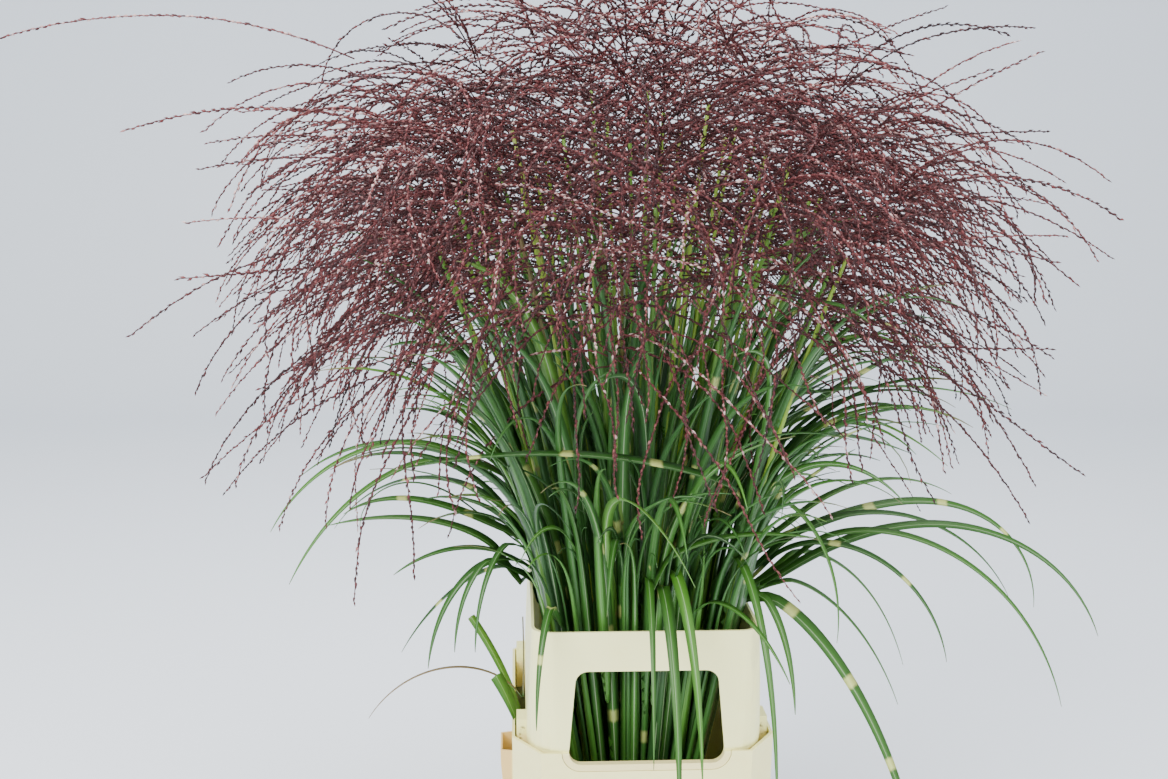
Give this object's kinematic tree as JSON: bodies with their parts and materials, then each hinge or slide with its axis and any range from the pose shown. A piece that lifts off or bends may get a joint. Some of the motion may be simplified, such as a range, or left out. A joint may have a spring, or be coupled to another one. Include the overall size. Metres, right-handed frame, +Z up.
{
  "type": "potted miscanthus grass clump",
  "caption": "Clump of cut miscanthus grass with drooping burgundy plumes and banded leaves, standing in a cream flower container with a windowed collar.",
  "frame": {"origin": "middle of the container's flat base, on the surface it stands on", "axes": "+Z up, -Y towards the side with the collar's window that faces the viewer, X across the container's short side"},
  "size_m": [1.2265, 0.9642, 1.1664],
  "materials": {
    "tub": "satin",
    "collar": "satin",
    "stem": "satin",
    "blade": "satin",
    "plume": "matte"
  },
  "bodies": {
    "root": {"blade_banded_right": "blade", "blade_caught_cut": "blade", "blade_caught_long": "blade", "blade_corner_high": "blade", "blade_corner_low": "blade", "blade_front_left": "blade", "blade_front_middle": "blade", "blade_front_right": "blade", "blade_left_high": "blade", "blade_left_long": "blade", "blade_left_low": "blade", "blade_left_rear": "blade", "blade_rear_high": "blade", "blade_rear_middle": "blade", "blade_rear_right": "blade", "blade_right_high": "blade", "blade_right_long": "blade", "blade_right_low": "blade", "blade_right_rear": "blade", "collar": "collar", "plume_01": "plume", "plume_02": "plume", "plume_03": "plume", "plume_04": "plume", "plume_05": "plume", "plume_06": "plume", "plume_07": "plume", "plume_08": "plume", "plume_09": "plume", "plume_10": "plume", "plume_11": "plume", "plume_12": "plume", "plume_13": "plume", "plume_14": "plume", "plume_15": "plume", "plume_16": "plume", "plume_17": "plume", "plume_18": "plume", "pocket_left": "tub", "pocket_right": "tub", "raceme_lone": "plume", "stem_01": "stem", "stem_02": "stem", "stem_03": "stem", "stem_04": "stem", "stem_05": "stem", "stem_06": "stem", "stem_07": "stem", "stem_08": "stem", "stem_09": "stem", "stem_10": "stem", "stem_11": "stem", "stem_12": "stem", "stem_13": "stem", "stem_14": "stem", "stem_15": "stem", "stem_16": "stem", "stem_17": "stem", "stem_18": "stem", "tub": "tub"}
  },
  "joints": []
}
